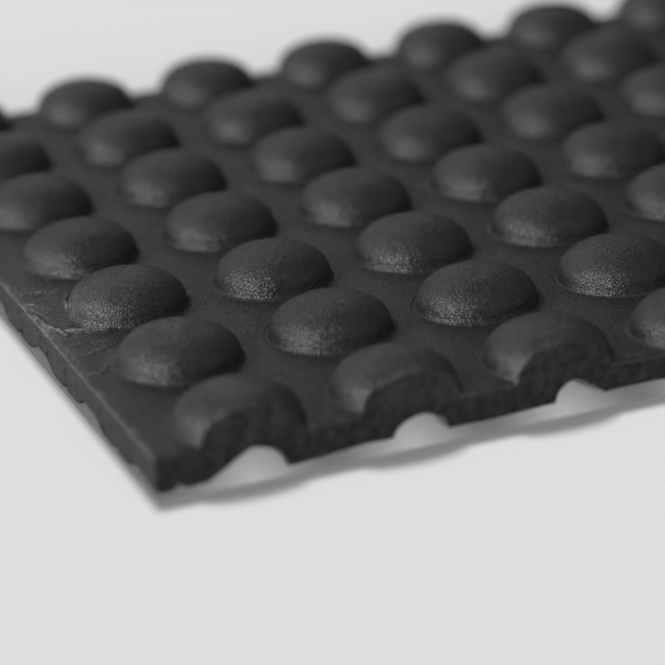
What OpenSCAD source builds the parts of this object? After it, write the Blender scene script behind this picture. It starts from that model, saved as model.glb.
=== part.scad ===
// Peel-and-stick traction pad: a moulded rubber sheet with a grid of raised domes.
// The sheet is trimmed from a longer one, so its front and back edges run through a row of domes.
// The origin is the middle of the footprint, on the underside of the release liner. +Z is up.

/* [Dome pattern] */
// Diameter of a dome where it meets the sheet
dome_d = 13.5; // [11:0.5:15]
// Height of a dome above the sheet
dome_h = 4.1; // [3.9:0.1:4.8]
// How square the shoulders of a dome are, 2 being an ellipse
dome_fullness = 2.3; // [2:0.1:2.8]
// Width and height of the small sloped foot around a dome
foot_fillet = 0.35; // [0.2:0.05:0.6]
// Distance between neighbouring columns of domes
pitch_x = 17.3; // [16.5:0.1:19]
// Distance between neighbouring rows of domes
pitch_y = 18; // [17:0.1:20]
// Number of columns, counted along X
columns = 7; // [3:1:7]

/* [Sheet] */
// Thickness of the rubber sheet between the domes
sheet_t = 3.4; // [3:0.1:4]
// Sheet left outside the middle of the first and last column
side_margin = 10.5; // [8.5:0.1:11]
// Sheet left outside the middle of the first and last row, less than a dome's radius
end_margin = 4.5; // [4.2:0.1:5]

/* [Hollows under the domes] */
// Diameter of a hollow at the underside of the sheet
hollow_d = 11.6; // [10:0.1:12]
// Rubber left above a hollow, in the middle of the dome
crown_t = 3.6; // [3:0.1:4]
// How square the shoulders of a hollow are, 2 being an ellipse
hollow_fullness = 2.1; // [2:0.1:2.6]

/* [Ribs on the underside] */
// Width of a rib
rib_w = 8; // [7:0.1:9]
// Height of a rib below the sheet
rib_h = 1.3; // [0.9:0.1:1.6]
// Width of the drain groove along the middle of a rib
groove_w = 2; // [1.6:0.1:2.4]
// Depth of the drain groove
groove_depth = 0.7; // [0.4:0.1:0.8]

/* [Adhesive and liner] */
// Width of a double-coated tape strip
tape_w = 6; // [5:0.1:6.4]
// Thickness of the tape, both adhesive coats and the film between them
tape_t = 0.2; // [0.15:0.05:0.3]
// Distance from the end of a tape strip to the side edge of the pad
tape_inset = 1; // [0.5:0.1:2]
// Thickness of the release liner
liner_t = 0.12; // [0.1:0.01:0.2]
// Width of the split between the two halves of the liner
split_gap = 0.1; // [0.06:0.01:0.3]
// How far the split waves to each side of the middle
split_wave = 4; // [0:0.5:6]

/* [Hidden] */
$fn = 64;
// Number of rows, counted along Y. Each of the six ribs between them has its own tape strip.
rows = 7;

rubber_colour = [0.17, 0.17, 0.18];
tape_colour = [0.86, 0.80, 0.62];
liner_colour = [0.90, 0.89, 0.85];

pad_x = (columns - 1) * pitch_x + 2 * side_margin;
pad_y = (rows - 1) * pitch_y + 2 * end_margin;
tape_z = liner_t;
rib_z = tape_z + tape_t;
sheet_z = rib_z + rib_h;
top_z = sheet_z + sheet_t;
hollow_h = sheet_t + dome_h - crown_t;
// How far a solid runs into its neighbour, or a cutter past a face, to leave no seam
overlap = 0.5;
split_waves = 1.5;
split_points = 36;
dome_steps = 9;
hollow_steps = 6;

function column_x(i) = (i - (columns - 1) / 2) * pitch_x;
function row_y(j) = (j - (rows - 1) / 2) * pitch_y;

// Outline of a dome from its rim up to its crown: a superellipse, whose fullness of 2 would be
// an ellipse and more than 2 gives squarer shoulders. The rim stands upright.
function dome_outline(r, h, fullness, steps) =
    [for (k = [0 : steps]) let (angle = 90 * k / steps)
        [r * pow(cos(angle), 2 / fullness), h * pow(sin(angle), 2 / fullness)]];

module dome() {
    foot_r = dome_d / 2 + foot_fillet;
    rotate_extrude()
        polygon(concat([[0, -overlap], [foot_r, -overlap], [foot_r, 0]],
                       [for (p = dome_outline(dome_d / 2, dome_h, dome_fullness, dome_steps))
                           if (p[1] == 0) [p[0], foot_fillet] else p]));
}

module hollow() {
    rotate_extrude()
        polygon(concat([[0, -rib_h - overlap], [hollow_d / 2, -rib_h - overlap]],
                       dome_outline(hollow_d / 2, hollow_h, hollow_fullness, hollow_steps)));
}

// Puts its children at the middle of every dome.
module at_domes() {
    for (i = [0 : columns - 1], j = [0 : rows - 1])
        translate([column_x(i), row_y(j), 0]) children();
}

// Puts its children halfway between neighbouring rows.
module at_ribs() {
    for (j = [0 : rows - 2])
        translate([0, row_y(j) + pitch_y / 2, 0]) children();
}

module rib() {
    translate([-pad_x / 2, -rib_w / 2, rib_z]) cube([pad_x, rib_w, rib_h + overlap]);
}

module drain_groove() {
    translate([-pad_x / 2 - overlap, 0, rib_z])
        rotate([90, 0, 90])
            linear_extrude(pad_x + 2 * overlap)
                polygon([[-groove_w / 2, -overlap], [-groove_w / 2, 0], [0, groove_depth],
                         [groove_w / 2, 0], [groove_w / 2, -overlap]]);
}

// The trimmed block that every edge of the rubber is cut to.
module trim_block() {
    translate([-pad_x / 2, -pad_y / 2, rib_z]) cube([pad_x, pad_y, top_z + dome_h]);
}

module dome_pad() {
    color(rubber_colour)
        intersection() {
            trim_block();
            difference() {
                union() {
                    translate([-pad_x / 2, -pad_y / 2, sheet_z]) cube([pad_x, pad_y, sheet_t]);
                    at_domes() translate([0, 0, top_z]) dome();
                    at_ribs() rib();
                }
                at_domes() translate([0, 0, sheet_z]) hollow();
                at_ribs() drain_groove();
            }
        }
}

// One strip of tape along the rib behind a row, counted from 1 at the front.
module tape_strip(row) {
    color(tape_colour)
        translate([-pad_x / 2 + tape_inset, row_y(row - 1) + pitch_y / 2 - tape_w / 2, tape_z])
            cube([pad_x - 2 * tape_inset, tape_w, tape_t]);
}

function split_x(y) = split_wave * sin(360 * split_waves * y / pad_y);

// One half of the liner; side is -1 for the left half and 1 for the right half.
module liner_half(side) {
    edge = [for (k = [0 : split_points]) let (y = (k / split_points - 0.5) * pad_y)
        [split_x(y) + side * split_gap / 2, y]];
    color(liner_colour)
        linear_extrude(liner_t)
            polygon(concat([[side * pad_x / 2, -pad_y / 2]], edge, [[side * pad_x / 2, pad_y / 2]]));
}

dome_pad();
tape_strip(1);  // tape_strip_1
tape_strip(2);  // tape_strip_2
tape_strip(3);  // tape_strip_3
tape_strip(4);  // tape_strip_4
tape_strip(5);  // tape_strip_5
tape_strip(6);  // tape_strip_6
liner_half(-1);  // liner_left
liner_half(1);  // liner_right
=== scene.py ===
"""Peel-and-stick traction pad: moulded rubber domes, tape strips and a split release liner.

Plan sizes are in millimetres and turn into metres when a mesh is made.
"""
import math

import bmesh
import bpy
import numpy as np
from mathutils import Matrix, Vector


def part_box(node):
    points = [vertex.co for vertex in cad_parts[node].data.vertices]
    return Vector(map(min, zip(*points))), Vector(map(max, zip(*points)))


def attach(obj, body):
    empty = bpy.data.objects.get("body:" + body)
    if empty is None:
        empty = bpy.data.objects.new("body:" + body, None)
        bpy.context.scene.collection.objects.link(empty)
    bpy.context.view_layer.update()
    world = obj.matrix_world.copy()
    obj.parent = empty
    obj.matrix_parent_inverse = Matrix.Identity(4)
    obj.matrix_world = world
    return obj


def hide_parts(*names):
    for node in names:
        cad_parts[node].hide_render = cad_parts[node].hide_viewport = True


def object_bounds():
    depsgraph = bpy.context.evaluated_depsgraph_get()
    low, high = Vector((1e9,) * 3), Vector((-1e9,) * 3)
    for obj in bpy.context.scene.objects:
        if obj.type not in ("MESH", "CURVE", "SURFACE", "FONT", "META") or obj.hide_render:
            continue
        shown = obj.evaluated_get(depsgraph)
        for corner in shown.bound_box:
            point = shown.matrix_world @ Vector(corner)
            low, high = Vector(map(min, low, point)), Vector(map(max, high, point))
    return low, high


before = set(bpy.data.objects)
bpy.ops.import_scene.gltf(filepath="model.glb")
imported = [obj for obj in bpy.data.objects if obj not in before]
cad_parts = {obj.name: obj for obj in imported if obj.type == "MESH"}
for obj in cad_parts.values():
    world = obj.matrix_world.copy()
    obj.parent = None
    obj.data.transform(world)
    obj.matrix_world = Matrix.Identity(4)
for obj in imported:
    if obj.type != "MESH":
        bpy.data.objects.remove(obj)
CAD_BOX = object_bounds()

MM = 0.001

# --- Sizes, mm -----------------------------------------------------------------------------

# The rubber's box comes from the frame. The pattern, dome, sheet, rib and hollow sizes repeat the
# CAD model's. The fillet, lip, draft and rounded edges are this model's own.
PAD_LO, PAD_HI = (np.array(corner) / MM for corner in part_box("dome_pad"))
COLUMNS = 7
ROWS = 7
PITCH_X = 17.3
PITCH_Y = 18.0
COLUMN_X = (np.arange(COLUMNS) - (COLUMNS - 1) / 2) * PITCH_X
ROW_Y = (np.arange(ROWS) - (ROWS - 1) / 2) * PITCH_Y

# The fullness is how square a dome's shoulders are, 2 being an ellipse. A fillet and then a faint
# raised lip run around its foot.
DOME_R = 6.75
DOME_H = 4.1
DOME_FULLNESS = 2.3
FILLET_R = 0.45
LIP_H = 0.02
LIP_W = 0.21

# The sheet between the domes, and the ribs under it. A rib's sides slope over its draft.
SHEET_T = 3.4
TOP_Z = PAD_HI[2] - DOME_H
SHEET_Z = TOP_Z - SHEET_T
RIB_Z = PAD_LO[2]
RIB_HALF = 4.0
RIB_DRAFT = 3.1
GROOVE_HALF = 1.0
GROOVE_DEPTH = 0.7

# The hollow under each dome, above the underside of the sheet.
HOLLOW_R = 5.8
HOLLOW_H = 3.9
HOLLOW_FULLNESS = 2.1

# The cut faces: the rounding at their top and bottom, and the rows of faces between.
EDGE_R = 0.40
EDGE_ARC_STEPS = 4
WALL_ROWS = 18

# The material slots of the rubber.
MOULDED, CUT = 0, 1

# Spacing of the mesh between the domes, along the side and back edges, and along the front edge.
INNER_STEP = 0.5
SIDE_STEP = 0.16
FRONT_STEP = 0.15

# Rings of vertices between a dome and its tile's border, by column and row where the land is
# creased, and between a hollow and that border.
CREASED_LAND_RINGS = {(0, 1): 28, (0, 2): 34, (0, 3): 26}
LEFT_LAND_RINGS = 20
LAND_RINGS = 9
UNDERSIDE_RINGS = 6

# Vertices closer than this are one, and edges sharper than this, in degrees, are shaded sharp.
WELD = 0.0008
SHARP_ANGLE = 48

# First seeds of the random draws for each hollow, for each dome and for the pale dusting with its
# painted sheen.
HOLLOW_SEED, DOME_SEED, DUST_AND_SHEEN_SEED = 100, 500, 900

# The camera's place, the compass azimuth and elevation of its view, and its roll, in degrees.
CAMERA_PLACE = (-139.6, -320.6, 127.1)
CAMERA_AZIMUTH, CAMERA_ELEVATION, CAMERA_ROLL = 20.28, -21.95, -3.29
CAMERA_LENS = 163.35
CAMERA_FSTOP = 19.0

# Brightness of the world as the pad sees it, and as the camera does, which matches the table.
ROOM_LEVEL = 0.105
TABLE_LEVEL = 0.735


# --- Smooth noise --------------------------------------------------------------------------

def smooth_noise(x, y, cell, seed):
    """Value noise from -1 to 1 with features about one cell across. Each use has its own seed."""
    period, far_corner = 256, 1000.0
    rng = np.random.default_rng(seed)
    table = rng.uniform(-1, 1, (period + 1, period + 1))
    u, v = np.asarray(x) / cell + far_corner, np.asarray(y) / cell + far_corner
    iu, iv = np.floor(u).astype(int), np.floor(v).astype(int)
    fu, fv = u - iu, v - iv
    fu, fv = fu * fu * (3 - 2 * fu), fv * fv * (3 - 2 * fv)
    iu, iv = iu % period, iv % period
    low = table[iu, iv] * (1 - fu) + table[iu + 1, iv] * fu
    high = table[iu, iv + 1] * (1 - fu) + table[iu + 1, iv + 1] * fu
    return low * (1 - fv) + high * fv


# --- Shape of the rubber -------------------------------------------------------------------

def dome_section():
    """Radius and height of a dome from crown to land, with the fillet at its foot."""
    angle = np.radians(np.linspace(90, 0, 240))
    r = DOME_R * np.cos(angle) ** (2 / DOME_FULLNESS)
    z = DOME_H * np.sin(angle) ** (2 / DOME_FULLNESS)
    above = z > FILLET_R
    foot_r = np.interp(FILLET_R, z[::-1], r[::-1])
    turn = np.radians(np.linspace(0, 90, 24))
    fillet_x = foot_r + FILLET_R * (1 - np.cos(turn))
    fillet_z = FILLET_R * (1 - np.sin(turn))
    return np.concatenate([r[above], fillet_x]), np.concatenate([z[above], fillet_z])


SECTION_R, SECTION_Z = dome_section()
FOOT_R = SECTION_R[-1]


def dome_rings():
    """Radii of the rings of vertices around a dome, closest where the section turns most."""
    angle = np.radians([88, 82, 75, 68, 61, 54, 47, 40, 33, 27, 21, 16, 12])
    crown = DOME_R * np.cos(angle) ** (2 / DOME_FULLNESS)
    foot = FOOT_R - FILLET_R * np.array([0.93, 0.75, 0.5, 0.25, 0.0])
    lip = FOOT_R + LIP_W * np.array([0.7, 1.4, 2.2, 3.2])
    return np.concatenate([crown, foot, lip])


def hollow_rings():
    """Radii of the rings of vertices of a hollow, the last one just outside its rim."""
    angle = np.radians([85, 72, 60, 48, 37, 27, 18, 10, 4])
    return np.append(HOLLOW_R * np.cos(angle) ** (2 / HOLLOW_FULLNESS), [HOLLOW_R, HOLLOW_R + 0.08])


# The three hollows that the front cut opens nearest the corner, by column: shift of the middle
# along X, size, height, and how much one flank slumps (the left one, or the right if negative).
FRONT_HOLLOWS = {0: (-0.6, 1.02, 1.0, 1.0), 1: (1.0, 0.88, 0.92, 0.45), 2: (1.75, 0.86, 0.95, -1.3)}


def hollow_shape(i, j):
    """Middle of a hollow measured from its dome, its size, its height and its slump."""
    if j == 0 and i in FRONT_HOLLOWS:
        shift, size, height, slump = FRONT_HOLLOWS[i]
        return np.array([shift, 0.0]), size, height, slump
    rng = np.random.default_rng(HOLLOW_SEED + i * ROWS + j)
    shift, size = rng.uniform(-0.35, 0.35, 2), rng.uniform(0.92, 1.0)
    height, slump = rng.uniform(0.9, 1.0), rng.uniform(-0.6, 0.6)
    return shift, size, height, slump


# How far the underside hangs lower near the front cut, by distance from the left edge.
FRONT_SAG_AT = [0.0, 15.0, 21.0, 26.0, 32.0, 40.0, 48.0, 54.0, 66.0, 90.0, 124.0]
FRONT_SAG = [0.75, 0.75, 0.15, 0.1, 0.3, 0.2, -0.1, -0.2, 0.15, -0.1, 0.2]


# Creases and raised flash in the top of the sheet, from (x, y) to (x, y), with height and width.
# They lie on the margin by the left edge, around the feet of the second to fourth domes. A crease
# with a negative height is pressed in.
LEFT = PAD_LO[0]
CREASES = [
    ((LEFT + 5.3, ROW_Y[2] + 6.6), (LEFT + 4.0, ROW_Y[2] + 2.4), 0.42, 0.20),
    ((LEFT + 4.0, ROW_Y[2] + 2.4), (LEFT + 3.9, ROW_Y[2] - 1.6), 0.10, 0.16),
    ((LEFT + 4.8, ROW_Y[3] - 5.0), (LEFT + 9.6, ROW_Y[3] - 7.1), 0.42, 0.24),
    ((LEFT + 1.6, ROW_Y[2] - 3.6), (LEFT + 6.4, ROW_Y[2] - 6.2), 0.34, 0.46),
    ((LEFT + 3.4, ROW_Y[2] - 2.6), (LEFT + 6.0, ROW_Y[2] - 5.6), -0.30, 0.20),
    ((LEFT + 0.5, ROW_Y[2] - 0.2), (LEFT + 1.7, ROW_Y[2] - 5.2), 0.24, 0.26),
    ((LEFT + 0.4, ROW_Y[2] + 4.8), (LEFT + 1.2, ROW_Y[2] - 0.6), -0.22, 0.18),
    ((LEFT + 0.6, ROW_Y[2] + 9.6), (LEFT + 4.8, ROW_Y[2] + 8.4), 0.18, 0.30),
    ((LEFT + 1.2, ROW_Y[2] + 7.2), (LEFT + 5.0, ROW_Y[2] + 9.4), -0.16, 0.16),
    ((LEFT + 0.7, ROW_Y[2] + 6.4), (LEFT + 2.6, ROW_Y[2] + 3.2), 0.14, 0.20),
    ((LEFT + 0.2, ROW_Y[1] + 9.1), (LEFT + 3.0, ROW_Y[1] + 9.9), 0.13, 0.34),
    ((LEFT + 2.4, ROW_Y[1] + 9.9), (LEFT + 5.6, ROW_Y[1] + 9.2), 0.11, 0.30),
    ((LEFT + 0.3, ROW_Y[1] + 6.2), (LEFT + 2.6, ROW_Y[1] + 6.6), 0.12, 0.36),
    ((LEFT + 2.2, ROW_Y[1] + 6.5), (LEFT + 5.2, ROW_Y[1] + 7.9), 0.12, 0.30),
    ((LEFT + 0.3, ROW_Y[1] + 1.5), (LEFT + 2.2, ROW_Y[1] + 0.8), 0.13, 0.42),
    ((LEFT + 1.9, ROW_Y[1] + 0.8), (LEFT + 4.3, ROW_Y[1] + 4.0), 0.11, 0.34),
    ((LEFT + 4.1, ROW_Y[1] + 3.8), (LEFT + 6.0, ROW_Y[1] + 6.4), 0.11, 0.34),
]


def distance_to_line(x, y, start, end):
    """Distance to the line from start to end, and how far along it the nearest place is, 0 to 1."""
    (x0, y0), (x1, y1) = start, end
    dx, dy = x1 - x0, y1 - y0
    along = np.clip(((x - x0) * dx + (y - y0) * dy) / (dx * dx + dy * dy), 0, 1)
    return np.hypot(x - x0 - along * dx, y - y0 - along * dy), along


def creases(x, y):
    """Height that the creases add: each fades at its ends and wanders a little on its way."""
    total = np.zeros_like(x)
    wander_x = x + 0.22 * smooth_noise(x, y, 1.1, 31)
    wander_y = y + 0.22 * smooth_noise(x, y, 1.1, 32)
    for start, end, height, width in CREASES:
        d, along = distance_to_line(wander_x, wander_y, start, end)
        fade = np.sin(np.pi * np.clip(along, 0.05, 0.95)) ** 0.4
        total += fade * height * np.exp(-(d / width) ** 2)
    return total


def inset_from_edges(x, y):
    """Distance in from the nearest edge of the pad."""
    return np.minimum.reduce([x - PAD_LO[0], PAD_HI[0] - x, y - PAD_LO[1], PAD_HI[1] - y])


def handled(x, y):
    """How worn the sheet is, 0 to 1: most on the margin beside the second to fourth row."""
    near_edge = np.exp(-((x - LEFT) / 6.0) ** 2)
    near_row = np.exp(-((y - ROW_Y[2] - 2.0) / 15.0) ** 2)
    return near_edge * near_row


def cut_rounding(x, y, on_dome):
    """How far the top has sunk beside a cut: broadest on cut domes, torn where it was handled."""
    inset = inset_from_edges(x, y)
    ragged = np.clip(0.7 + 0.6 * smooth_noise(x, y, 3.0, 46), 0.2, 1.3)
    torn = handled(x, y) * np.clip(0.35 + smooth_noise(x, y, 1.3, 48), 0, 1)
    width, depth = 0.9 + 0.3 * on_dome, (0.16 + 0.16 * on_dome) * ragged + 0.45 * torn
    return depth * np.clip(1 - inset / width, 0, 1) ** 2


def top_z(x, y, i, j):
    """Height of the top of the rubber at points that belong to the dome in column i, row j."""
    u, v = x - COLUMN_X[i], y - ROW_Y[j]
    angle = np.arctan2(v, u)
    rng = np.random.default_rng(DOME_SEED + i * ROWS + j)
    phase = rng.uniform(0, 2 * np.pi, 3)
    out_of_round = 0.006 * np.sin(2 * angle + phase[0]) + 0.004 * np.sin(3 * angle + phase[1])
    r = np.hypot(u, v) * (1 + out_of_round)
    inside = np.clip((FOOT_R + 1.2 - r) / 1.2, 0, 1)
    tilt = 0.012 * np.cos(angle - phase[2]) * r * inside
    dome = np.interp(r, SECTION_R, SECTION_Z, right=0.0)
    lumps = smooth_noise(x, y, 2.6, 11) * 0.05 + smooth_noise(x, y, 1.1, 12) * 0.018
    lip = LIP_H * np.exp(-((r - FOOT_R - 0.9 * LIP_W) / LIP_W) ** 2)
    lip *= 0.75 + 0.45 * smooth_noise(x, y, 3.0, 13)
    waves = 0.05 * smooth_noise(x, y, 7.0, 14) + 0.016 * smooth_noise(x, y, 1.0, 15)
    wrinkles = 0.10 * smooth_noise(x, y, 2.2, 16) + 0.05 * smooth_noise(x, y, 0.9, 17)
    wrinkles = handled(x, y) * wrinkles
    land = np.clip((r - DOME_R) / 0.6, 0, 1)
    z = TOP_Z + dome + tilt * (dome > 0) + lumps * np.clip(dome / 1.0, 0, 1)
    z = z + lip + (waves + wrinkles) * land + creases(x, y) * np.clip((r - DOME_R + 0.5) / 0.3, 0, 1)
    z = z - cut_rounding(x, y, np.clip(dome / 1.5, 0, 1))
    return np.minimum(z, PAD_HI[2])


def bottom_z(x, y, i, j):
    """Height of the underside: hollow, sheet, rib or drain groove."""
    v = np.abs(y - ROW_Y[j])
    rib_start = PITCH_Y / 2 - RIB_HALF
    groove_start = PITCH_Y / 2 - GROOVE_HALF
    has_rib = ((y < ROW_Y[j]) & (j > 0)) | ((y > ROW_Y[j]) & (j < ROWS - 1))
    rise = np.clip((rib_start - v) / RIB_DRAFT, 0, 1)
    rise = rise - 0.06 * np.sin(2 * np.pi * rise)
    level = RIB_Z + (SHEET_Z - RIB_Z) * np.where(has_rib, rise, 1.0)
    into_groove = np.clip((v - groove_start) / GROOVE_HALF, 0, 1)
    level = level + GROOVE_DEPTH * np.where(has_rib, into_groove, 0)
    sag = np.interp(x - LEFT, FRONT_SAG_AT, FRONT_SAG) + 0.08 * smooth_noise(x, y * 0, 2.2, 21)
    sag = sag * np.exp(-((y - PAD_LO[1]) / 5.0) ** 2)
    nick = np.exp(-((x - LEFT - 2.6) / 0.5) ** 2) * np.exp(-((y - PAD_LO[1]) / 1.5) ** 2)
    level = level - sag + 0.5 * nick
    middle, size, height, slump = hollow_shape(i, j)
    u, w = x - COLUMN_X[i] - middle[0], y - ROW_Y[j] - middle[1]
    share = np.hypot(u, w) / (HOLLOW_R * size)
    arch = HOLLOW_H * height * np.clip(1 - share ** HOLLOW_FULLNESS, 0, 1) ** (1 / HOLLOW_FULLNESS)
    arch = arch * (1 - abs(slump) * np.clip((0.5 - np.sign(slump) * u) / HOLLOW_R, 0, 0.8))
    return np.where(share < 1 - 1e-6, SHEET_Z - sag + arch, np.maximum(level, RIB_Z))


# --- Mesh of the rubber --------------------------------------------------------------------

def stations(lo, hi, step, keep=()):
    """Places from lo to hi about one step apart that also include each place to keep."""
    stops = sorted({lo, hi, *(k for k in keep if lo < k < hi)})
    runs = [np.linspace(a, b, max(1, round((b - a) / step)) + 1)[:-1] for a, b in zip(stops, stops[1:])]
    return np.append(np.concatenate(runs), hi)


def rib_lines(j):
    """Y of each edge of the ribs and grooves that lie within one row's share of the sheet."""
    foot, flat = PITCH_Y / 2 - RIB_HALF - RIB_DRAFT, PITCH_Y / 2 - RIB_HALF
    offsets = [foot, foot + 0.3 * RIB_DRAFT, foot + 0.7 * RIB_DRAFT, flat, PITCH_Y / 2 - GROOVE_HALF]
    return [ROW_Y[j] + side * o for side in (-1, 1) for o in offsets]


def tile_limits(i, j):
    """Plan limits of one dome's share of the sheet, inside the rounding of the cut edges."""
    x0 = PAD_LO[0] + EDGE_R if i == 0 else COLUMN_X[i] - PITCH_X / 2
    x1 = PAD_HI[0] - EDGE_R if i == COLUMNS - 1 else COLUMN_X[i] + PITCH_X / 2
    y0 = PAD_LO[1] + EDGE_R if j == 0 else ROW_Y[j] - PITCH_Y / 2
    y1 = PAD_HI[1] - EDGE_R if j == ROWS - 1 else ROW_Y[j] + PITCH_Y / 2
    return x0, x1, y0, y1


def tile_sides(i, j):
    """The front, right, back and left sides of a tile as rows of points, anticlockwise."""
    x0, x1, y0, y1 = tile_limits(i, j)
    keep = rib_lines(j)
    front = stations(x0, x1, FRONT_STEP if j == 0 else INNER_STEP)
    back = stations(x0, x1, SIDE_STEP if j == ROWS - 1 else INNER_STEP)
    left = stations(y0, y1, SIDE_STEP if i == 0 else INNER_STEP, keep)
    right = stations(y0, y1, SIDE_STEP if i == COLUMNS - 1 else INNER_STEP, keep)
    return [
        np.column_stack([front, np.full(len(front), y0)]),
        np.column_stack([np.full(len(right), x1), right]),
        np.column_stack([back, np.full(len(back), y1)])[::-1],
        np.column_stack([np.full(len(left), x0), left])[::-1],
    ]


def radial_tile(middle, border, rings, land_rings):
    """Vertices and faces of a flat tile: rings around its middle, then rings that reach its border."""
    ray = border - middle
    reach = np.hypot(ray[:, 0], ray[:, 1])
    radii = [np.minimum(r, reach) for r in rings]
    outermost = radii[-1]
    radii += [outermost + (reach - outermost) * k / land_rings for k in range(1, land_rings + 1)]
    points = [middle + ray * (r / reach)[:, None] for r in radii]
    flat = np.vstack([middle[None, :]] + points)
    count = len(border)
    faces = [(0, 1 + k, 1 + (k + 1) % count) for k in range(count)]
    for ring in range(len(radii) - 1):
        a, b = 1 + ring * count, 1 + (ring + 1) * count
        faces += [(a + k, b + k, b + (k + 1) % count, a + (k + 1) % count) for k in range(count)]
    return flat, faces


def cut_along(flat, faces, lines):
    """The same flat tile with an edge along each of the given lines of constant Y."""
    mesh = bpy.data.meshes.new("tile")
    mesh.from_pydata([(x, y, 0.0) for x, y in flat], [], faces)
    bm = bmesh.new()
    bm.from_mesh(mesh)
    bmesh.ops.remove_doubles(bm, verts=bm.verts[:], dist=0.0005)
    for y in lines:
        everything = bm.verts[:] + bm.edges[:] + bm.faces[:]
        bmesh.ops.bisect_plane(bm, geom=everything, plane_co=(0, y, 0), plane_no=(0, 1, 0), dist=0.001)
    bm.verts.index_update()
    flat = np.array([v.co[:2] for v in bm.verts])
    faces = [tuple(v.index for v in f.verts) for f in bm.faces]
    bm.free()
    bpy.data.meshes.remove(mesh)
    return flat, faces


def top_tile(i, j):
    """One dome's share of the top: vertices with their heights, and faces."""
    middle = np.array([COLUMN_X[i], ROW_Y[j]])
    border = np.vstack([side[:-1] for side in tile_sides(i, j)])
    land_rings = CREASED_LAND_RINGS.get((i, j), LEFT_LAND_RINGS if i == 0 else LAND_RINGS)
    flat, faces = radial_tile(middle, border, dome_rings(), land_rings)
    return np.column_stack([flat, top_z(flat[:, 0], flat[:, 1], i, j)]), faces


def bottom_tile(i, j):
    """The same share of the underside, around its hollow."""
    shift, size, _height, _slump = hollow_shape(i, j)
    middle = np.array([COLUMN_X[i], ROW_Y[j]]) + shift
    border = np.vstack([side[:-1] for side in tile_sides(i, j)])
    flat, faces = radial_tile(middle, border, hollow_rings() * size, UNDERSIDE_RINGS)
    flat, faces = cut_along(flat, faces, rib_lines(j))
    faces = [face[::-1] for face in faces]
    return np.column_stack([flat, bottom_z(flat[:, 0], flat[:, 1], i, j)]), faces


def edge_run(tiles, side):
    """Points along one outer edge of the sheet, with the heights of both its faces there."""
    rows = []
    for i, j in tiles:
        points = tile_sides(i, j)[side]
        x, y = points[:, 0], points[:, 1]
        rows.append(np.column_stack([points, top_z(x, y, i, j), bottom_z(x, y, i, j)])[:-1])
    return np.vstack(rows)


def outline():
    """The closed outline of the pad: points with both heights, and the way out at each point."""
    across, along = range(COLUMNS), range(ROWS)
    runs = [
        edge_run([(i, 0) for i in across], 0),
        edge_run([(COLUMNS - 1, j) for j in along], 1),
        edge_run([(i, ROWS - 1) for i in reversed(across)], 2),
        edge_run([(0, j) for j in reversed(along)], 3),
    ]
    points, outward = [], []
    for side, run in enumerate(runs):
        square_on = math.radians(-90 + 90 * side)
        for turn in np.linspace(-90, 0, EDGE_ARC_STEPS + 1)[:-1]:
            points.append(run[0])
            outward.append(square_on + math.radians(turn))
        points += list(run)
        outward += [square_on] * len(run)
    outward = np.array(outward)
    return np.array(points), np.column_stack([np.cos(outward), np.sin(outward)])


def cut_face_relief(distance, height):
    """How far the cut faces stand back from flat: slow waves from the blade and a torn grain."""
    blade = 0.09 * smooth_noise(distance, height * 0.35, 2.4, 41)
    lumps = 0.07 * smooth_noise(distance, height, 1.2, 44)
    torn = 0.04 * smooth_noise(distance, height, 0.5, 42)
    drag = 0.03 * smooth_noise(distance * 0.5, height * 3.0, 0.9, 43)
    return 0.12 + blade + lumps + torn + drag


def top_bevel(distance, points):
    """Extra height of the rounding along the top of the cut: ragged, and deepest on the domes."""
    on_dome = np.clip((points[:, 2] - TOP_Z - 0.2) / 1.0, 0, 1)
    ragged = np.clip(0.5 + 0.8 * smooth_noise(distance, distance * 0, 3.4, 45), 0, 1)
    return 0.06 + 0.5 * on_dome * ragged


def cut_edge_skin():
    """The cut faces around the pad, with roundings where they meet the top and the underside.

    Gives vertices, faces and each face's finish: moulded for the top rounding, cut for the rest.
    """
    points, outward = outline()
    step = np.hypot(*np.diff(points[:, :2], axis=0, append=points[:1, :2]).T)
    distance = np.cumsum(step)
    turn = np.radians(np.linspace(0, 90, EDGE_ARC_STEPS + 1))
    bevel = EDGE_R + top_bevel(distance, points)
    high, low = points[:, 2] - bevel, points[:, 3] + EDGE_R
    levels = [high + bevel * math.cos(t) for t in turn]
    pushes = [np.full(len(points), EDGE_R * math.sin(t)) for t in turn]
    roughness = 1 + 1.5 * handled(points[:, 0], points[:, 1])
    for k in range(1, WALL_ROWS):
        level = high + (low - high) * k / WALL_ROWS
        fade = math.sin(math.pi * k / WALL_ROWS) ** 0.35
        levels.append(level)
        relief = np.maximum(cut_face_relief(distance, level), 0)
        pushes.append(EDGE_R - fade * roughness * relief)
    levels += [low - EDGE_R * math.cos(t) for t in turn[::-1]]
    pushes += [np.full(len(points), EDGE_R * math.sin(t)) for t in turn[::-1]]
    rows = [
        np.column_stack([points[:, :2] + outward * push[:, None], level])
        for level, push in zip(levels, pushes)
    ]
    count = len(points)
    moulded_rows = np.where(points[:, 2] > TOP_Z + 0.4, EDGE_ARC_STEPS // 2, EDGE_ARC_STEPS)
    faces, finishes = [], []
    for row in range(len(rows) - 1):
        a, b = row * count, (row + 1) * count
        faces += [(b + k, b + (k + 1) % count, a + (k + 1) % count, a + k) for k in range(count)]
        finishes += [MOULDED if row < moulded else CUT for moulded in moulded_rows]
    return np.vstack(rows), faces, finishes


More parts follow.
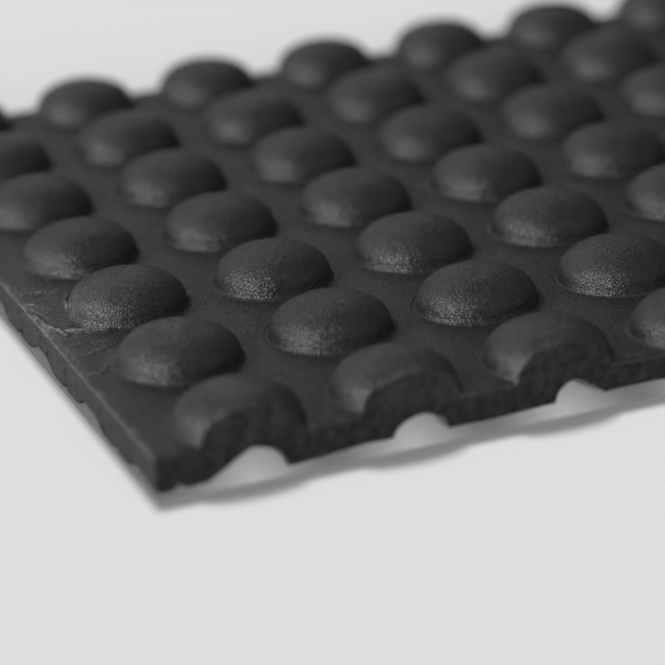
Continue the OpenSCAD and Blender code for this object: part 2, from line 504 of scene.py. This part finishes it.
def mesh_object(name, parts):
    """One object from parts of (vertices in mm, faces, finish of each face), welded together."""
    vertices, faces, finishes = [], [], []
    start = 0
    for part_vertices, part_faces, finish in parts:
        vertices.append(part_vertices)
        faces += [tuple(start + k for k in face) for face in part_faces]
        finishes += finish
        start += len(part_vertices)
    mesh = bpy.data.meshes.new(name)
    mesh.from_pydata(np.vstack(vertices).tolist(), [], faces)
    mesh.polygons.foreach_set("material_index", finishes)
    bm = bmesh.new()
    bm.from_mesh(mesh)
    bmesh.ops.remove_doubles(bm, verts=bm.verts[:], dist=WELD)
    bmesh.ops.scale(bm, vec=(MM, MM, MM), verts=bm.verts[:])
    bm.to_mesh(mesh)
    bm.free()
    mesh.shade_smooth()
    mesh.set_sharp_from_angle(angle=math.radians(SHARP_ANGLE))
    piece = bpy.data.objects.new(name, mesh)
    bpy.context.scene.collection.objects.link(piece)
    return piece


def crease_highlight_mask(x, y):
    """Painted highlight on the raised creases: 1 on the crest of a high one, 0 about its width away."""
    fully_pale_height = 0.26
    mask = np.zeros_like(x)
    for start, end, height, width in CREASES:
        d, along = distance_to_line(x, y, start, end)
        if height > 0:
            pale = min(1.0, height / fully_pale_height) * np.exp(-(d / (0.85 * width)) ** 2)
            mask = np.maximum(mask, pale * (along > 0.02) * (along < 0.98))
    return mask


# The domes that are dustiest in the photo, by column and row.
# These get the most painted sheen as well.
DUST_AND_SHEEN_DOMES = {(0, 0): 1.0, (0, 1): 1.0, (0, 2): 0.6, (1, 0): 0.9, (2, 0): 0.6}


def dust_and_sheen(x, y):
    """Pale dusting with painted sheen on the domes' crowns, most towards their backs: different on each
    one, and patchy.
    """
    i = np.clip(np.rint((x - COLUMN_X[0]) / PITCH_X).astype(int), 0, COLUMNS - 1)
    j = np.clip(np.rint((y - ROW_Y[0]) / PITCH_Y).astype(int), 0, ROWS - 1)
    amount = np.random.default_rng(DUST_AND_SHEEN_SEED).uniform(0.0, 0.5, (COLUMNS, ROWS))
    for dome, dust_and_sheen_level in DUST_AND_SHEEN_DOMES.items():
        amount[dome] = dust_and_sheen_level
    back = (y - ROW_Y[j]) / DOME_R
    r = np.hypot(x - COLUMN_X[i], y - ROW_Y[j]) / DOME_R
    patches = 0.45 + 0.8 * smooth_noise(x, y, 2.4, 51) + 0.6 * smooth_noise(x, y, 0.8, 52)
    # The painted sheen covers the crown and is brightest towards its back.
    crown, far_side = np.clip(1.15 - r, 0, 1), np.clip(0.75 + 0.6 * back, 0, 1)
    return amount[i, j] * np.clip(patches, 0, 1) * crown * far_side


def mark_wear_dust_and_painted_light(piece):
    """Stores, for the material, how worn each point of the rubber is, with painted highlights on edges
    and creases, and its dusting with painted sheen.
    """
    mesh = piece.data
    co = np.empty(len(mesh.vertices) * 3)
    mesh.vertices.foreach_get("co", co)
    x, y, z = (co.reshape(-1, 3) / MM).T
    inset = inset_from_edges(x, y)
    high = np.clip((z - SHEET_Z - 0.75 * SHEET_T) / (0.25 * SHEET_T), 0, 1)
    # Paler along the top edges: worn, with a painted highlight along the edge, made ragged by chips.
    arris = np.exp(-(inset / 0.85) ** 2) * high
    chipped = np.clip(0.12 + 0.6 * smooth_noise(x + y, x - y, 1.6, 53) + 0.3 * handled(x, y), 0, 1)
    # Raised creases get a painted highlight along their crests.
    wear_and_highlight = chipped * arris + (0.4 * handled(x, y) + crease_highlight_mask(x, y)) * high
    on_left_face = (x < LEFT + EDGE_R) & (z < TOP_Z - 0.7)
    wear_and_highlight = np.clip(wear_and_highlight + 0.6 * handled(x, y) * on_left_face, 0, 1)
    # The first layer also holds painted highlights, the second the painted sheen on the crowns.
    for name, values in (("wear_and_highlight", wear_and_highlight), ("dust_and_sheen", dust_and_sheen(x, y) * (z > TOP_Z + 0.3))):
        layer = mesh.attributes.new(name, "FLOAT", "POINT")
        layer.data.foreach_set("value", values.astype(np.float32))


def rubber_pad():
    """The whole rubber moulding as one welded mesh, riding on the pad's body."""
    parts = []
    for i in range(COLUMNS):
        for j in range(ROWS):
            for vertices, faces in (top_tile(i, j), bottom_tile(i, j)):
                parts.append((vertices, faces, [MOULDED] * len(faces)))
    parts.append(cut_edge_skin())
    piece = mesh_object("rubber_pad", parts)
    mark_wear_dust_and_painted_light(piece)
    piece.data.materials.append(rubber_material())
    piece.data.materials.append(cut_rubber_material())
    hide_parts("dome_pad")
    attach(piece, "pad")
    return piece


# --- Materials -----------------------------------------------------------------------------

def new_material(name):
    """An empty node material with its shader and output, and a helper that adds nodes to it."""
    material = bpy.data.materials.new(name)
    material.use_nodes = True
    tree = material.node_tree
    shader = tree.nodes["Principled BSDF"]

    def add(kind, inputs=(), **settings):
        node = tree.nodes.new(kind)
        for key, value in settings.items():
            setattr(node, key, value)
        for key, value in dict(inputs).items():
            if isinstance(value, bpy.types.NodeSocket):
                tree.links.new(value, node.inputs[key])
            else:
                node.inputs[key].default_value = value
        return node

    def wire(value, key):
        tree.links.new(value, shader.inputs[key])

    return material, shader, add, wire


def ramp(add, value, stops):
    """A colour ramp with stops of (place, grey or colour)."""
    node = add("ShaderNodeValToRGB", {"Fac": value})
    elements = node.color_ramp.elements
    for element, (place, colour) in zip(elements, (stops[0], stops[-1])):
        element.position = place
        element.color = as_colour(colour)
    for place, colour in stops[1:-1]:
        elements.new(place).color = as_colour(colour)
    return node.outputs["Color"]


def as_colour(value):
    """A grey, or a colour of three numbers, with an alpha of 1."""
    return (value, value, value, 1) if isinstance(value, (int, float)) else (*value, 1)


def position_mm(add):
    """Object position in millimetres, so that every pattern below has its size in millimetres."""
    where = add("ShaderNodeTexCoord").outputs["Object"]
    return vector_node(add, "SCALE", {0: where, "Scale": 1 / MM})


def noise(add, where, size_mm, detail=2.0, roughness=0.5):
    """Noise whose features are about size_mm across."""
    return add("ShaderNodeTexNoise", {
        "Vector": where, "Scale": 1 / size_mm, "Detail": detail, "Roughness": roughness,
    }).outputs["Fac"]


def math_node(add, operation, a, b):
    return add("ShaderNodeMath", {0: a, 1: b}, operation=operation).outputs["Value"]


def vector_node(add, operation, inputs):
    return add("ShaderNodeVectorMath", inputs, operation=operation).outputs["Vector"]


def blend(add, share, a, b):
    """The colour a where share is 0, turning into b where it is 1."""
    inputs = {"Factor": share, "A": a, "B": b}
    return add("ShaderNodeMix", inputs, data_type="RGBA").outputs["Result"]


def bump(add, height, strength, depth_mm, normal=None, invert=False):
    """The surface normal with a relief on it, on top of an earlier one if that is given."""
    inputs = {"Height": height, "Strength": strength, "Distance": depth_mm * MM}
    if normal is not None:
        inputs["Normal"] = normal
    return add("ShaderNodeBump", inputs, invert=invert).outputs["Normal"]


def rubber_material():
    """Charcoal moulded rubber: a fine pebbled grain, dusting with painted sheen, and paler scuffs where
    worn, with painted highlights.
    """
    material, shader, add, wire = new_material("moulded_rubber")
    dust_and_sheen_grey, scuff_and_highlight_grey, grain_mm = as_colour(0.080), as_colour(0.24), 0.22
    where = position_mm(add)
    wear_and_highlight = add("ShaderNodeAttribute", attribute_name="wear_and_highlight").outputs["Fac"]
    dust_and_sheen_share = add("ShaderNodeAttribute", attribute_name="dust_and_sheen").outputs["Fac"]
    cloud = noise(add, where, 3.2, 3)
    scuff = noise(add, where, 0.45, 4, 0.7)
    base = ramp(add, cloud, [(0.3, (0.026, 0.026, 0.0265)), (0.7, (0.036, 0.036, 0.0365))])
    # Pale dusting with painted sheen on the crowns of the domes.
    dust_and_sheen_base = blend(add, dust_and_sheen_share, base, dust_and_sheen_grey)
    scuffed = ramp(add, scuff, [(0.42, 0.0), (0.66, 1.0)])
    # Paler scuffs where worn, with painted highlights on the top edges and raised creases.
    amount = math_node(add, "MULTIPLY", scuffed, wear_and_highlight)
    bare_and_highlight = math_node(add, "MULTIPLY", math_node(add, "POWER", wear_and_highlight, 4.0), 0.3)
    amount = math_node(add, "ADD", amount, bare_and_highlight)
    wire(blend(add, amount, dust_and_sheen_base, scuff_and_highlight_grey), "Base Color")
    glint = add("ShaderNodeTexVoronoi", {"Vector": where, "Scale": 1 / grain_mm, "Randomness": 1.0})
    rough = ramp(add, glint.outputs["Color"], [(0.18, 0.18), (0.34, 0.29), (0.9, 0.38)])
    wire(rough, "Roughness")
    shader.inputs["Specular IOR Level"].default_value = 0.5
    grain = bump(add, glint.outputs["Distance"], 0.7, 0.10, invert=True)
    fine = bump(add, noise(add, where, 0.16, 2), 0.35, 0.12, grain)
    coarse = bump(add, noise(add, where, 0.8, 3), 0.6, 0.20, fine)
    wire(faceted(add, coarse, glint.outputs["Color"], 0.26), "Normal")
    return material


def faceted(add, normal, cell_colour, amount):
    """Tilts the normal of each cell its own way, so that single grains catch the light."""
    centred = vector_node(add, "SUBTRACT", {0: cell_colour, 1: (0.5, 0.5, 0.5)})
    tilt = vector_node(add, "SCALE", {0: centred, "Scale": amount})
    tilted = vector_node(add, "ADD", {0: normal, 1: tilt})
    return vector_node(add, "NORMALIZE", {0: tilted})


def cut_rubber_material():
    """The same rubber where a blade has gone through it: matt, torn and flecked."""
    material, shader, add, wire = new_material("cut_rubber")
    worn_and_highlight_grey, fleck_grey, fleck_mm = as_colour(0.085), as_colour(0.08), 1.0
    where = position_mm(add)
    wear_and_highlight = add("ShaderNodeAttribute", attribute_name="wear_and_highlight").outputs["Fac"]
    cloud = noise(add, where, 1.1, 5, 0.72)
    base = ramp(add, cloud, [(0.34, (0.012, 0.012, 0.012)), (0.68, (0.050, 0.050, 0.0505))])
    pale = ramp(add, noise(add, where, 0.5, 4, 0.7), [(0.36, 0.0), (0.64, 1.0)])
    # Paler where worn, with a painted highlight near the top of the cut faces.
    base = blend(add, math_node(add, "MULTIPLY", pale, wear_and_highlight), base, worn_and_highlight_grey)
    fleck = add("ShaderNodeTexVoronoi", {"Vector": where, "Scale": 1 / fleck_mm, "Randomness": 1.0})
    flecked = ramp(add, fleck.outputs["Distance"], [(0.0, 1.0), (0.20, 0.0)])
    wire(blend(add, flecked, base, fleck_grey), "Base Color")
    shader.inputs["Roughness"].default_value = 0.62
    shader.inputs["Specular IOR Level"].default_value = 0.22
    torn = bump(add, noise(add, where, 0.4, 4, 0.7), 1.0, 0.35)
    wire(bump(add, noise(add, where, 1.3, 2), 0.9, 0.7, torn), "Normal")
    return material


def tape_material():
    """Clear double-coated film tape: yellowish, glossy, with a faint weave of bubbles."""
    material, shader, add, wire = new_material("film_tape")
    where = position_mm(add)
    cloud = noise(add, where, 1.5, 3)
    wire(ramp(add, cloud, [(0.3, (0.70, 0.64, 0.45)), (0.7, (0.80, 0.75, 0.58))]), "Base Color")
    shader.inputs["Roughness"].default_value = 0.28
    wire(bump(add, noise(add, where, 0.7, 2), 0.3, 0.05), "Normal")
    return material


def liner_material():
    """Coated release paper: off-white with faint fibres, a soft sheen and painted shade on its cut
    edges.
    """
    material, shader, add, wire = new_material("release_paper")
    where = position_mm(add)
    stretched = add("ShaderNodeMapping", {"Vector": where, "Scale": (1.0, 0.2, 1.0)}).outputs["Vector"]
    fibre = noise(add, stretched, 0.5, 4, 0.6)
    face = ramp(add, fibre, [(0.3, (0.74, 0.74, 0.73)), (0.7, (0.80, 0.80, 0.79))])
    normal = add("ShaderNodeSeparateXYZ", {"Vector": add("ShaderNodeNewGeometry").outputs["Normal"]})
    flat = math_node(add, "ABSOLUTE", normal.outputs["Z"], 0.0)
    # Faces that turn sideways, the cut edges, get painted shade.
    edge_shade_colour = (0.16, 0.155, 0.145, 1)
    wire(blend(add, flat, edge_shade_colour, face), "Base Color")
    shader.inputs["Roughness"].default_value = 0.45
    wire(bump(add, fibre, 0.2, 0.03), "Normal")
    return material


# --- Tape and liner ------------------------------------------------------------------------

def slab(outline_points, low, high):
    """Vertices and faces of a thin flat slab with the given outline."""
    count = len(outline_points)
    vertices = [(x, y, z) for z in (low, high) for x, y in outline_points]
    faces = [tuple(range(count))[::-1], tuple(range(count, 2 * count))]
    faces += [(k, (k + 1) % count, count + (k + 1) % count, count + k) for k in range(count)]
    return np.array(vertices), faces


def tape_strip(number, material):
    """A strip of tape with knife-cut long edges that wander a little and snipped ends."""
    node = f"tape_strip_{number}"
    lo, hi = (np.array(corner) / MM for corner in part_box(node))
    x = stations(lo[0], hi[0], 1.5)
    front = lo[1] + 0.06 + 0.05 * smooth_noise(x, x * 0, 6.0, 60 + number)
    back = hi[1] - 0.06 + 0.05 * smooth_noise(x, x * 0, 6.0, 80 + number)
    ends = 0.3 * np.sin(np.array([number, number * 2.3]))
    x_back = x.copy()
    x[0] += abs(ends[0])
    x_back[-1] -= abs(ends[1])
    points = list(zip(x, front)) + list(zip(x_back, back))[::-1]
    vertices, faces = slab(points, lo[2], hi[2])
    piece = mesh_object(f"tape_{number}", [(vertices, faces, [0] * len(faces))])
    piece.data.materials.append(material)
    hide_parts(node)
    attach(piece, "pad")
    return piece


def dress_liner(material):
    """Gives both halves of the liner, which stay the CAD solids, their paper."""
    halves = [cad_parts["liner_left"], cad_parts["liner_right"]]
    for piece in halves:
        piece.data.materials.clear()
        piece.data.materials.append(material)
    return halves


# --- Stage ---------------------------------------------------------------------------------

def floor():
    """A plain pale table, far larger than the pad."""
    bpy.ops.mesh.primitive_plane_add(size=6, location=(0, 0, CAD_BOX[0][2]))
    plane = bpy.context.object
    plane.name = "floor"
    material, shader, _add, _wire = new_material("floor_paint")
    shader.inputs["Base Color"].default_value = as_colour(0.80)
    shader.inputs["Roughness"].default_value = 0.9
    shader.inputs["Specular IOR Level"].default_value = 0.1
    plane.data.materials.append(material)
    return plane


def towards(azimuth, elevation):
    """Unit vector for a compass azimuth from +Y towards +X, and an elevation, in degrees."""
    a, e = math.radians(azimuth), math.radians(elevation)
    return Vector((math.sin(a) * math.cos(e), math.cos(a) * math.cos(e), math.sin(e)))


def lamp_from(data, azimuth, elevation, distance, lit):
    """Puts a light where it shines on the origin from the given side, and only on what is lit."""
    lamp = bpy.data.objects.new(data.name, data)
    way = towards(azimuth, elevation)
    lamp.location = way * distance
    lamp.rotation_euler = way.to_track_quat("Z", "Y").to_euler()
    lamp.light_linking.receiver_collection = lit
    bpy.context.scene.collection.objects.link(lamp)
    return lamp


def softbox(name, azimuth, elevation, size, watts, distance, lit):
    """A rectangular light, with its size and distance in metres."""
    data = bpy.data.lights.new(name, "AREA")
    data.shape = "RECTANGLE"
    data.size, data.size_y = size
    data.energy = watts
    lamp_from(data, azimuth, elevation, distance, lit)


def skylight(name, azimuth, elevation, spread, strength, lit):
    """A distant light that looks as wide as spread, in degrees."""
    data = bpy.data.lights.new(name, "SUN")
    data.energy, data.angle = strength, math.radians(spread)
    lamp_from(data, azimuth, elevation, 1.0, lit)


def beam(name, target, azimuth, elevation, watts, distance, lit):
    """A narrow soft-edged lamp through one arch of the front edge, within the hollow's width."""
    reach = 0.85 * HOLLOW_R * MM
    data = bpy.data.lights.new(name, "SPOT")
    data.energy, data.spot_blend = watts, 0.5
    data.spot_size = 2 * math.atan(reach / distance)
    data.shadow_soft_size = 0.004
    lamp_from(data, azimuth, elevation, distance, lit).location += target


def collection(name, things):
    """A collection that a light can be limited to."""
    group = bpy.data.collections.new(name)
    for thing in things:
        group.objects.link(thing)
    return group


def backdrop():
    """A dim room for the light that reaches the pad, which the camera sees as pale as the table."""
    world = bpy.data.worlds.new("studio")
    bpy.context.scene.world = world
    world.use_nodes = True
    nodes, links = world.node_tree.nodes, world.node_tree.links
    seen = nodes.new("ShaderNodeLightPath").outputs["Is Camera Ray"]
    level = nodes.new("ShaderNodeMapRange")
    level.inputs["To Min"].default_value = ROOM_LEVEL
    level.inputs["To Max"].default_value = TABLE_LEVEL
    links.new(seen, level.inputs["Value"])
    links.new(level.outputs["Result"], nodes["Background"].inputs["Strength"])
    nodes["Background"].inputs["Color"].default_value = (1, 1, 1, 1)


def light_studio(rubber_things, tables, papers):
    """A window from the left and a broad sky for the rubber, two suns for the pale things.

    Each line has the azimuth and elevation that the light comes from, then its size or spread in
    front of its strength. The beams show the liner through the arches of the front edge.
    """
    dark = collection("rubber_things", rubber_things)
    pale, paper = collection("pale_things", tables + papers), collection("papers", papers)
    softbox("key", -97, 23, (1.2, 0.6), 15, 2.0, dark)
    softbox("window", -114, 17, (0.26, 0.26), 13, 2.0, dark)
    softbox("sky", -74, 42, (2.4, 2.4), 18, 2.0, dark)
    softbox("back", 4, 30, (0.6, 0.4), 0.36, 0.8, dark)
    softbox("fill", 130, 35, (0.5, 0.4), 0.3, 0.7, dark)
    skylight("table_top", 14, 64, 16, 2.16, pale)
    skylight("table_front", -160, 16, 25, 2.3, pale)
    for x in COLUMN_X:
        mouth = Vector((x, PAD_LO[1], 0)) * MM
        beam("arch", mouth, -168, 21, 3.8, 0.3, paper)
    backdrop()
    bpy.context.scene.view_settings.view_transform = "Standard"


def camera():
    """Looks down on the near left corner, focused beside the third dome of the second row."""
    back = -towards(CAMERA_AZIMUTH, CAMERA_ELEVATION)
    roll = Matrix.Rotation(math.radians(CAMERA_ROLL), 3, "Z").to_quaternion()
    turn = back.to_track_quat("Z", "Y") @ roll
    place = Vector(CAMERA_PLACE) * MM
    sharp = bpy.data.objects.new("focus", None)
    sharp.location = Vector((COLUMN_X[2], ROW_Y[1], TOP_Z)) * MM
    bpy.context.scene.collection.objects.link(sharp)
    data = bpy.data.cameras.new("camera")
    data.sensor_width = 36.0
    data.lens = CAMERA_LENS
    data.dof.use_dof = True
    data.dof.aperture_fstop = CAMERA_FSTOP
    data.dof.focus_object = sharp
    eye = bpy.data.objects.new("camera", data)
    eye.matrix_world = Matrix.Translation(place) @ turn.to_matrix().to_4x4()
    bpy.context.scene.collection.objects.link(eye)
    bpy.context.scene.camera = eye


# --- Build ---------------------------------------------------------------------------------

tape = tape_material()
dark_things = [rubber_pad()] + [tape_strip(number, tape) for number in range(1, ROWS)]
liners = dress_liner(liner_material())
light_studio(dark_things, [floor()], liners)
camera()
